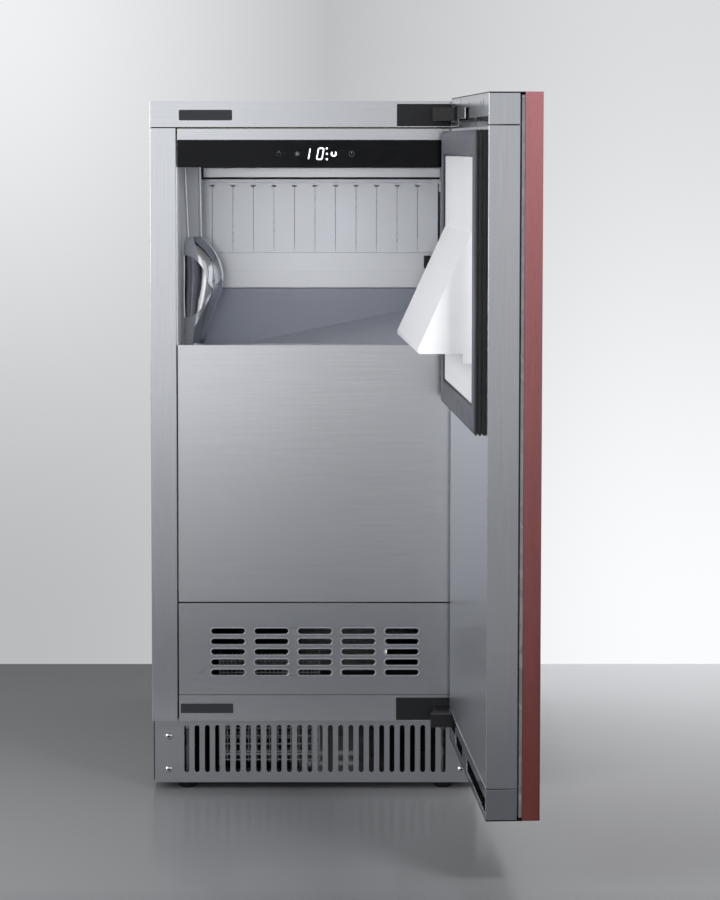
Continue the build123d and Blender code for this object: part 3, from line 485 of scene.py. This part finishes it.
SLOT_LOOKS = {
    "brushed_steel": STEEL_X,
    "painted_steel": PAINTED,
    "galvanised_steel": GALVANISED,
    "black_plastic": BLACK,
    "grey_plastic": GREY,
    "white_plastic": WHITE,
    "clear_grey_plastic": CLEAR,
    "black_glass": GLASS,
    "circuit_board": BOARD,
    "foam": FOAM,
    "gasket_rubber": RUBBER,
    "polished_steel": POLISHED,
    "nickel": NICKEL,
    "aluminium_fins": ALUMINIUM,
    "black_enamel": ENAMEL,
    "brass": BRASS,
    "cherry_wood": WOOD,
}
# several nodes take lighter and darker copies of one material: painted light and shade
NODE_LOOKS = {
    "stiles": STEEL_Z,
    "door_inner_panel": STEEL_INNER_LIT,
    "door_shell": STEEL_Z,
    "door_cap_top": STEEL_Z,
    "door_cap_bottom": STEEL_CAP_SHADE,
    "front_panel": STEEL_PANEL_LIT,
    "kick_grille": STEEL_KICK_SHADE,
    "plug_covers": PLUG,
    "curtain_rail": RAIL_LIT,
    "rear_slide": SLIDE_SHADE,
    "side_slide": SLIDE_SHADE,
}
for part in frame["record"]["subparts"]:
    look = NODE_LOOKS.get(part["node"], SLOT_LOOKS[part["material_slot"]])
    for place in NODES[part["node"]].material_slots:
        place.material = look


def scoop_handle():
    """The flat strip of the scoop's handle, between its polished beads, gets a darker copy of the steel: painted
    shade standing in for the grey it reflects.
    """
    mesh = NODES["scoop"].data
    mesh.materials.append(HANDLE_SHADE)
    high = span("scoop")[2][1]
    back = CABINET.inverted()
    for face in mesh.polygons:
        if face.normal.y < -0.97 and (back @ face.center).z > high - 104:
            face.material_index = len(mesh.materials) - 1


scoop_handle()

EDGE_RADII = {
    "top_rail": 0.5,
    "bottom_rail": 0.5,
    "upper_trim": 0.4,
    "front_panel": 0.4,
    "vent_panel": 0.3,
    "door_shell": 0.5,
    "door_cap_top": 0.5,
    "door_cap_bottom": 0.5,
    "side_panel_left": 0.3,
    "side_panel_right": 0.3,
    "top_panel": 0.4,
    "curtain_rail": 0.4,
    "ice_deflector": 0.8,
    "door_liner": 0.6,
    "panel_brackets": 0.4,
}
for name, radius in EDGE_RADII.items():
    weld = NODES[name].modifiers.new("weld", "WELD")
    weld.merge_threshold = 0.01 * MM
    soften(NODES[name], radius)


# ---------------------------------------------------------------- door gasket
def door_gasket():
    """The bellows gasket: one profile carried round the door's window with mitred corners."""
    x, y, z = span("door_gasket", DOOR)
    # each profile point is its distance in from the outer edge and its height off the door
    folds = [(27, 0.0), (27, 9.5), (26.2, 11.6), (24.5, 12.6), (22.0, 12.8), (7.0, 12.8)]
    folds += [(3.6, 12.6), (1.2, 11.8), (0.3, 10.8), (0.6, 9.6), (5.6, 8.6), (0.6, 7.6)]
    folds += [(0.1, 6.4), (0.6, 5.2), (5.6, 4.2), (0.6, 3.2), (0.2, 1.8), (1.0, 0.0)]
    rings = []
    for side_x, side_z in ((-1, -1), (1, -1), (1, 1), (-1, 1)):
        corner_x = x[0] if side_x < 0 else x[1]
        corner_z = z[0] if side_z < 0 else z[1]
        ring = [(corner_x - side_x * d, y[0] + h, corner_z - side_z * d) for d, h in folds]
        rings.append([Vector(point) for point in ring])
    bm = bmesh.new()
    loft(bm, rings, closed=True)
    made = finished("gasket_bellows", bm, DOOR, "door", RUBBER, smooth=50)
    # the gasket's face gets the lighter copy of the rubber: painted light
    made.data.materials.append(RUBBER_FACE_LIT)
    back = DOOR.inverted()
    level = y[0] + 12.0
    for face in made.data.polygons:
        if (back @ face.center).y > level:
            face.material_index = 1
    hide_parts("door_gasket")


door_gasket()


# ---------------------------------------------------------------- curtain rail
def rail_painted_shade():
    """A black strip under the curtain's rail, drawn as a drip seal: painted shadow along the rail's lower edge.
    And a dark block at the rail's left end: a painted reflection of the scoop's handle.
    """
    x, y, z = span("curtain_rail")
    bm = bmesh.new()
    # painted shadow: a black strip along the rail's lower edge
    block(bm, (x[0] + 0.5, x[1] - 0.5), (y[0] - 0.4, y[0] + 2.4), (z[0] - 2.7, z[0] - 0.1))
    finished("rail_painted_shadow_strip", bm, CABINET, "cabinet", RUBBER, bevel=0.3, smooth=0)
    bm = bmesh.new()
    # painted reflection: a dark block where the scoop's handle darkens the rail
    block(bm, (x[0] + 0.5, x[0] + 17.5), (y[0] - 1.2, y[0] - 0.1), (z[0] + 0.2, z[1] - 0.4))
    finished("rail_painted_handle_reflection", bm, CABINET, "cabinet", PLUG, bevel=0.3, smooth=0)


rail_painted_shade()


# ---------------------------------------------------------------- door cap details
def cap_details():
    """Dark discs and bars in the inner face of the door's end caps: painted shade standing in for screw holes and
    slots, and a joint line.
    """
    face = span("door_cap_top", DOOR)[1][1]
    top = span("door_cap_top", DOOR)[2]
    low = span("door_cap_bottom", DOOR)[2]
    bm = bmesh.new()
    flat = (face - 0.6, face + 0.05)
    for x in (112, -115):
        lathe(bm, (x, face - 0.6, top[1] - 9), [(0, 0), (2.2, 0), (2.2, 0.65), (0, 0.65)], "y", 20)
    for x in (0, -138):
        block(bm, (x - 1.6, x + 1.6), flat, (top[1] - 14, top[1] - 6))
    block(bm, (86, 87.2), flat, (top[0] + 6, top[1] - 0.5))
    block(bm, (-DOOR_HALF + 0.5, 86), flat, (top[0] + 5.4, top[0] + 6.4))
    for x in (-60, -150, -170):
        lathe(bm, (x, face - 0.6, low[0] + 8), [(0, 0), (2.2, 0), (2.2, 0.65), (0, 0.65)], "y", 20)
    finished("cap_hole_shade_and_joints", bm, DOOR, "door", RECESS_SHADE, smooth=0)


DOOR_HALF = span("door_cap_top", DOOR)[0][1]
cap_details()


# ---------------------------------------------------------------- louvre rims
def louvre_rims():
    """The pressed lip round each louvre of the vent panel."""
    front = span("vent_panel")[1][0]
    pitch_x, pitch_z = 50.4, 12.1
    half_length, half_width = 19.75, 3.4
    middle_z = 165.6
    # each point is its distance out from the slot's edge and its depth behind the front face
    lip = [(1.3, 0.02), (1.0, -0.10), (0.5, -0.16), (0.0, -0.08), (-0.3, 0.25), (-0.4, 1.2), (-0.4, 3.6)]
    lip += [(-0.1, 3.6), (0.0, 0.6), (1.2, 0.3)]
    bm = bmesh.new()
    for column in range(-2, 3):
        for row in range(-2, 3):
            loops = []
            for out, depth in lip:
                ring = stadium(half_length + out, half_width + out)
                centre = (column * pitch_x, middle_z + row * pitch_z)
                level = front + depth
                loops.append([Vector((centre[0] + px, level, centre[1] + pz)) for px, pz in ring])
            loft(bm, loops, closed=True)
    # the rims take a darker copy of the steel: painted shade that dims their highlights
    finished("louvre_rims", bm, CABINET, "cabinet", STEEL_RIM_SHADE, smooth=60)


louvre_rims()


# ---------------------------------------------------------------- screws
def screw(bm, at, radius, height, axis="y"):
    """A pan head that faces -y or another axis' low side."""
    profile = [(radius, 0), (radius, -height * 0.35), (radius * 0.86, -height * 0.75)]
    profile += [(radius * 0.55, -height), (0, -height)]
    lathe(bm, at, [(0, 0)] + profile, axis, 24)


def cross(bm, at, reach, face, depth=0.5):
    """A dark cross standing in for a screw's recess, on a head that faces -y: painted shade."""
    x, _, z = at
    for half_x, half_z in ((reach, reach * 0.24), (reach * 0.24, reach)):
        block(bm, (x - half_x, x + half_x), (face - 0.06, face + depth), (z - half_z, z + half_z))


def kick_screws():
    """Four chrome pan heads with cross recesses, and their shanks."""
    x, y, z = span("kick_screws")
    radius = 4.0
    heads = bmesh.new()
    recesses = bmesh.new()
    for side in (x[0] + radius, x[1] - radius):
        for level in (z[0] + radius, z[1] - radius):
            seat = span("kick_grille")[1][0]
            screw(heads, (side, seat, level), radius, seat - y[0])
            rod(heads, (side, (seat + y[1]) / 2, level), 2.1, y[1] - seat, "y")
            cross(recesses, (side, seat, level), 2.0, y[0])
    made = finished("kick_screw_heads", heads, CABINET, "cabinet", POLISHED, smooth=50)
    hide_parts("kick_screws")
    # dark crosses: painted shade of the screws' recesses
    finished("kick_screw_recess_shade", recesses, CABINET, "cabinet", RECESS_SHADE, smooth=0)


kick_screws()


def casing_screws():
    """Small zinc pan heads round the back panel."""
    x, y, z = span("back_panel")
    bm = bmesh.new()
    profile = [(0, 0), (3.6, 0), (3.5, 0.7), (2.4, 1.6), (0, 1.8)]
    marks = bmesh.new()
    for side in (x[0] + 8, x[1] - 8):
        for level in (z[0] + 12, z[0] + 265, z[0] + 520, z[1] - 12):
            lathe(bm, (side, y[1], level), profile, "y", 20)
            # dark crosses: painted shade of the screws' recesses
            for half_x, half_z in ((1.8, 0.4), (0.4, 1.8)):
                across = (side - half_x, side + half_x)
                upright = (level - half_z, level + half_z)
                block(marks, across, (y[1] + 1.2, y[1] + 1.85), upright)
    finished("back_screws", bm, CABINET, "cabinet", SCREW, smooth=40)
    finished("back_screw_recess_shade", marks, CABINET, "cabinet", RECESS_SHADE, smooth=0)


casing_screws()


# ---------------------------------------------------------------- levelling feet
def foot(name):
    """A rubber-soled foot with a hexagon and a threaded stem."""
    x, y, z = span(name)
    at_x, at_y = (x[0] + x[1]) / 2, (y[0] + y[1]) / 2
    pad = bmesh.new()
    profile = [(0, 0), (8.6, 0), (9.5, 0.6), (14.0, 7.6)]
    profile += [(14.5, 8.4), (14.5, 10.6), (13.8, 11.2), (0, 11.2)]
    lathe(pad, (at_x, at_y, 0), profile, "z", 48)
    made = finished(name + "_pad", pad, CABINET, name, BLACK, smooth=40)
    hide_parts(name)
    nut = bmesh.new()
    profile = [(0, 11), (5.9, 11), (6.2, 11.4), (6.2, 14.2), (5.9, 14.6), (0, 14.6)]
    lathe(nut, (at_x, at_y, 0), profile, "z", 6)
    finished(name + "_hexagon", nut, CABINET, name, GALVANISED, smooth=30)
    stem = bmesh.new()
    pitch, root, crest, segments = 1.5, 4.2, 4.95, 20
    steps = int((z[1] - 14.6) / (pitch / 6))
    rings = []
    for step in range(steps):
        height = 14.6 + step * pitch / 6
        ring = []
        for index in range(segments):
            share = index / segments
            wave = abs(((height / pitch - share) % 1.0) * 2 - 1)
            radius = root + (crest - root) * wave
            turn = 2 * math.pi * share
            ring.append(Vector((at_x + radius * math.cos(turn), at_y + radius * math.sin(turn), height)))
        rings.append(ring)
    loft(stem, rings, closed=False)
    stem.verts.ensure_lookup_table()
    stem.faces.new(stem.verts[:segments])
    stem.faces.new(stem.verts[len(stem.verts) - segments :])
    finished(name + "_thread", stem, CABINET, name, GALVANISED, smooth=25)


for end in ("front", "rear"):
    for side in ("left", "right"):
        foot(f"foot_{end}_{side}")


# ---------------------------------------------------------------- control panel
SEGMENTS = {  # seven-segment strokes as (x, z) ends on a unit cell, 1 wide and 2 high
    "top": ((0, 2), (1, 2)),
    "middle": ((0, 1), (1, 1)),
    "bottom": ((0, 0), (1, 0)),
    "upper_left": ((0, 1), (0, 2)),
    "upper_right": ((1, 1), (1, 2)),
    "lower_left": ((0, 0), (0, 1)),
    "lower_right": ((1, 0), (1, 1)),
}
DIGITS = {
    "1": ("upper_right", "lower_right"),
    "0": ("top", "bottom", "upper_left", "upper_right", "lower_left", "lower_right"),
}


def stroke(bm, start, end, width, face):
    """A flat bar with pointed ends between two (x, z) points, just proud of the glass."""
    start, end = Vector(start), Vector(end)
    ahead = (end - start).normalized()
    across = Vector((-ahead.y, ahead.x)) * width / 2
    tip = ahead * width / 2
    inset = ahead * width * 0.15
    outline = [start + inset, start + tip + across, end - tip + across]
    outline += [end - inset, end - tip - across, start + tip - across]
    loft_rings = []
    for depth in (face, face - 0.12):
        loft_rings.append([Vector((point.x, depth, point.y)) for point in outline])
    first = len(bm.verts)
    loft(bm, loft_rings, closed=False)
    bm.verts.ensure_lookup_table()
    bm.faces.new(bm.verts[first : first + 6])
    bm.faces.new(bm.verts[first + 6 : first + 12])


def ring_icon(bm, x, z, radius, width, face, start=0, turn=360, steps=28):
    """A thin ring or arc drawn on the glass; angles are degrees from the top."""
    points = []
    for step in range(steps + 1):
        angle = math.radians(start + turn * step / steps)
        points.append((x + radius * math.sin(angle), z + radius * math.cos(angle)))
    for one, two in zip(points, points[1:]):
        stroke(bm, one, two, width, face)


def control_display():
    """The lit digits and the printed key marks on the control glass."""
    face = span("control_panel")[1][0]
    middle_z = sum(span("control_panel")[2]) / 2
    lit = bmesh.new()
    cell, lean = 6.0, 0.18
    for digit, left in (("1", -12.5), ("0", 3.0)):
        for name in DIGITS[digit]:
            ends = []
            for px, pz in SEGMENTS[name]:
                height = (pz - 1) * cell * 1.05
                ends.append((left + px * cell + height * lean, middle_z + height))
            stroke(lit, *ends, 1.25, face)
    dot = [(0, -0.12), (1.1, -0.12), (1.1, 0), (0, 0)]
    for row in (-1, 0, 1):
        lathe(lit, (13.6, face, middle_z + row * 6.2), dot, "y", 16)
    ring_icon(lit, 21.6, middle_z, 2.6, 1.3, face, start=40, turn=280)
    finished("display_lit", lit, CABINET, "cabinet", LIT, smooth=0)
    faint = bmesh.new()
    ring_icon(faint, 42.0, middle_z, 3.0, 0.7, face)
    stroke(faint, (42.0, middle_z - 0.2), (42.0, middle_z + 2.4), 0.7, face)
    ring_icon(faint, -41.5, middle_z, 2.6, 0.6, face, start=30, turn=300)
    stroke(faint, (-41.5, middle_z + 0.6), (-41.5, middle_z + 3.6), 0.6, face)
    for turn in (0, 60, 120):
        angle = math.radians(turn)
        reach = Vector((math.sin(angle), math.cos(angle))) * 2.9
        middle = Vector((-20.5, middle_z))
        stroke(faint, middle - reach, middle + reach, 0.6, face)
    finished("display_marks", faint, CABINET, "cabinet", FAINT, smooth=0)


control_display()


# ---------------------------------------------------------------- stage
def patchwork(tree, along, low, high, rows, columns):
    """A smooth blend of colours over a plane: rows of colours by height or depth, spread over x."""
    place = tree.nodes.new("ShaderNodeTexCoord").outputs["Object"]
    split = tree.nodes.new("ShaderNodeSeparateXYZ")
    tree.links.new(place, split.inputs[0])
    factors = []
    for axis, start, end in (("X", columns[0], columns[1]), (along, low, high)):
        shift = tree.nodes.new("ShaderNodeMapRange")
        shift.interpolation_type = "SMOOTHSTEP"
        shift.inputs["From Min"].default_value = start
        shift.inputs["From Max"].default_value = end
        tree.links.new(split.outputs[axis], shift.inputs["Value"])
        factors.append(shift.outputs["Result"])
    blends = []
    for greys in rows:
        ramp = tree.nodes.new("ShaderNodeValToRGB")
        elements = ramp.color_ramp.elements
        elements.new(0.5)
        for element, (position, grey) in zip(elements, greys):
            element.position = position
            element.color = srgb(grey, grey + 1, grey + 3)
        tree.links.new(factors[0], ramp.inputs["Fac"])
        blends.append(ramp.outputs["Color"])
    mix = tree.nodes.new("ShaderNodeMix")
    mix.data_type = "RGBA"
    tree.links.new(factors[1], mix.inputs["Factor"])
    colours = [socket for socket in mix.inputs if socket.type == "RGBA"]
    tree.links.new(blends[0], colours[0])
    tree.links.new(blends[1], colours[1])
    return [socket for socket in mix.outputs if socket.type == "RGBA"][0]


def stage_floor():
    """A pale floor with a weak, soft reflection. Its colour is painted light and shade: brightest far back at the
    right, with a painted dark band in front of the machine.
    """
    material = bpy.data.materials.new("look_floor")
    material.use_nodes = True
    tree = material.node_tree
    tree.nodes.clear()
    # painted light: the floor's colour is brightest far back at the right, where light falls on it
    near = ((0.0, 148), (0.5, 122), (1.0, 158))
    far = ((0.0, 116), (0.45, 118), (0.9, 252))
    colour = patchwork(tree, "Y", -0.5, 0.62, (near, far), (-0.5, 0.5))
    split = tree.nodes.new("ShaderNodeSeparateXYZ")
    tree.links.new(tree.nodes.new("ShaderNodeTexCoord").outputs["Object"], split.inputs[0])
    # painted shade: a dark band across the floor in front of the machine
    ahead = tree.nodes.new("ShaderNodeMapRange")
    ahead.inputs["From Min"].default_value = -0.46
    ahead.inputs["From Max"].default_value = -1.6
    tree.links.new(split.outputs["Y"], ahead.inputs["Value"])
    shade_band = tree.nodes.new("ShaderNodeValToRGB")
    shade_band.color_ramp.interpolation = "EASE"
    elements = shade_band.color_ramp.elements
    for position in (0.2, 0.5):
        elements.new(position)
    for element, share in zip(elements, (0, 1, 1, 0)):
        element.color = (share, share, share, 1)
    tree.links.new(ahead.outputs["Result"], shade_band.inputs["Fac"])
    shade_mix = tree.nodes.new("ShaderNodeMix")
    shade_mix.data_type = "RGBA"
    tree.links.new(shade_band.outputs["Color"], shade_mix.inputs["Factor"])
    colours = [socket for socket in shade_mix.inputs if socket.type == "RGBA"]
    tree.links.new(colour, colours[0])
    colours[1].default_value = srgb(92, 94, 98)
    matt = tree.nodes.new("ShaderNodeBsdfDiffuse")
    tree.links.new([socket for socket in shade_mix.outputs if socket.type == "RGBA"][0], matt.inputs["Color"])
    gloss = tree.nodes.new("ShaderNodeBsdfGlossy")
    gloss.inputs["Roughness"].default_value = 0.18
    mix = tree.nodes.new("ShaderNodeMixShader")
    mix.inputs["Fac"].default_value = 0.12
    tree.links.new(matt.outputs["BSDF"], mix.inputs[1])
    tree.links.new(gloss.outputs["BSDF"], mix.inputs[2])
    output = tree.nodes.new("ShaderNodeOutputMaterial")
    tree.links.new(mix.outputs["Shader"], output.inputs["Surface"])
    mesh = bpy.data.meshes.new("floor")
    near_y = WALL_Y - 12
    corners = [(-6, near_y, 0), (6, near_y, 0), (6, WALL_Y, 0), (-6, WALL_Y, 0)]
    mesh.from_pydata(corners, [], [(0, 1, 2, 3)])
    mesh.materials.append(material)
    floor = bpy.data.objects.new("floor", mesh)
    bpy.context.scene.collection.objects.link(floor)


def stage_wall():
    """A studio backdrop behind the machine; it is clear when seen from its back. Its glow is painted light and
    shade, brighter and darker by height and side.
    """
    material = bpy.data.materials.new("look_wall")
    material.use_nodes = True
    tree = material.node_tree
    tree.nodes.clear()
    low = ((0.0, 184), (0.5, 205), (1.0, 251))
    high = ((0.0, 240), (0.5, 188), (1.0, 218))
    colour = patchwork(tree, "Z", 0.05, 0.98, (low, high), (-0.5, 0.5))
    glow = tree.nodes.new("ShaderNodeEmission")
    tree.links.new(colour, glow.inputs["Color"])
    clear = tree.nodes.new("ShaderNodeBsdfTransparent")
    back = tree.nodes.new("ShaderNodeNewGeometry").outputs["Backfacing"]
    mix = tree.nodes.new("ShaderNodeMixShader")
    tree.links.new(back, mix.inputs["Fac"])
    tree.links.new(glow.outputs["Emission"], mix.inputs[1])
    tree.links.new(clear.outputs["BSDF"], mix.inputs[2])
    output = tree.nodes.new("ShaderNodeOutputMaterial")
    tree.links.new(mix.outputs["Shader"], output.inputs["Surface"])
    mesh = bpy.data.meshes.new("wall")
    corners = [(-6, 0, 0), (6, 0, 0), (6, 0, 5), (-6, 0, 5)]
    mesh.from_pydata(corners, [], [(0, 1, 2, 3)])
    mesh.materials.append(material)
    wall = bpy.data.objects.new("wall", mesh)
    bpy.context.scene.collection.objects.link(wall)
    wall.location = (0, WALL_Y, 0)


WALL_Y = cad_box[1].y + 0.19
stage_floor()
stage_wall()


def studio_world():
    """An even surround: brightest round the horizon, dim overhead."""
    world = bpy.data.worlds.new("studio")
    bpy.context.scene.world = world
    world.use_nodes = True
    tree = world.node_tree
    place = tree.nodes.new("ShaderNodeTexCoord").outputs["Generated"]
    split = tree.nodes.new("ShaderNodeSeparateXYZ")
    tree.links.new(place, split.inputs[0])
    height = tree.nodes.new("ShaderNodeMapRange")
    height.inputs["From Min"].default_value = 0.1
    height.inputs["From Max"].default_value = 0.8
    height.inputs["To Min"].default_value = 0.36
    height.inputs["To Max"].default_value = 0.16
    tree.links.new(split.outputs["Z"], height.inputs["Value"])
    sideways = tree.nodes.new("ShaderNodeMapRange")
    sideways.inputs["From Min"].default_value = -0.7
    sideways.inputs["From Max"].default_value = 0.7
    sideways.inputs["To Min"].default_value = 1.2
    sideways.inputs["To Max"].default_value = 0.7
    tree.links.new(split.outputs["X"], sideways.inputs["Value"])
    product = tree.nodes.new("ShaderNodeMath")
    product.operation = "MULTIPLY"
    tree.links.new(height.outputs["Result"], product.inputs[0])
    tree.links.new(sideways.outputs["Result"], product.inputs[1])
    background = tree.nodes["Background"]
    background.inputs["Color"].default_value = (0.97, 0.985, 1.0, 1.0)
    tree.links.new(product.outputs[0], background.inputs["Strength"])


studio_world()


def softbox(name, at, aim, size, glow, shine=1.0):
    """An area light at one point, aimed at another, in metres. glow is its own brightness."""
    data = bpy.data.lights.new(name, "AREA")
    data.shape = "RECTANGLE"
    data.size, data.size_y = size
    data.energy = glow * math.pi * size[0] * size[1]
    data.specular_factor = shine
    light = bpy.data.objects.new(name, data)
    bpy.context.scene.collection.objects.link(light)
    light.location = at
    light.rotation_euler = (Vector(aim) - Vector(at)).to_track_quat("-Z", "Y").to_euler()
    light.visible_camera = False
    return light


middle = (cad_box[0] + cad_box[1]) / 2
softbox("front_left", (-1.4, -3.6, 1.16), (-1.4, 0, 1.16), (2.6, 2.4), 0.80)
softbox("front_right", (0.75, -3.6, 1.16), (0.75, 0, 1.16), (1.7, 2.4), 0.36)
front_fill = softbox("front_fill", (-0.25, -2.9, 0.85), (0, 0, 0.6), (0.6, 0.6), 8.6, shine=0.0)
front_fill.visible_glossy = False
door_wash = softbox("door_wash", (0.56, -1.0, 0.94), (0.2, -0.46, 0.8), (0.25, 0.25), 26.0, shine=0.0)
door_wash.visible_glossy = False
softbox("key", (-2.6, -1.2, 1.2), middle, (1.6, 1.6), 5.7, shine=0.1)
softbox("top", (-0.2, -0.2, 2.8), middle, (1.5, 1.5), 0.5)
softbox("rear", (-1.6, 2.4, 1.6), middle, (1.6, 1.6), 4.0)


SPOT_WATTS = 150
SPOT_SPREAD = 6.2  # degrees
SPOT_FROM = (-60, -2900, 745)
SPOT_AIM = (-15, 200, 655)


def bin_spot():
    """A narrow light from the front that reaches the back of the bin."""
    data = bpy.data.lights.new("bin_spot", "SPOT")
    data.energy = SPOT_WATTS
    data.spot_size = math.radians(SPOT_SPREAD)
    data.spot_blend = 0.3
    data.shadow_soft_size = 0.12
    data.specular_factor = 0.0
    light = bpy.data.objects.new("bin_spot", data)
    bpy.context.scene.collection.objects.link(light)
    light.location = CABINET @ Vector(SPOT_FROM)
    aim = CABINET @ Vector(SPOT_AIM)
    light.rotation_euler = (aim - light.location).to_track_quat("-Z", "Y").to_euler()
    light.visible_glossy = False


bin_spot()

# ---------------------------------------------------------------- camera
EYE_DISTANCE = 2985.0  # in front of the cabinet's face
EYE_HEIGHT = 752.0
PITCH = 3.78  # degrees, looking down
LENS = 103.96
SHIFT = (0.05, -0.1473)  # only what the framing needs
eye = bpy.data.cameras.new("camera")
eye.lens = LENS
eye.sensor_width = 36.0
eye.shift_x, eye.shift_y = SHIFT
camera = bpy.data.objects.new("camera", eye)
bpy.context.scene.collection.objects.link(camera)
camera.location = CABINET @ Vector((0, -EYE_DISTANCE, EYE_HEIGHT))
camera.rotation_euler = (math.radians(90 - PITCH), 0, 0)
bpy.context.scene.camera = camera
bpy.context.scene.view_settings.view_transform = "Standard"
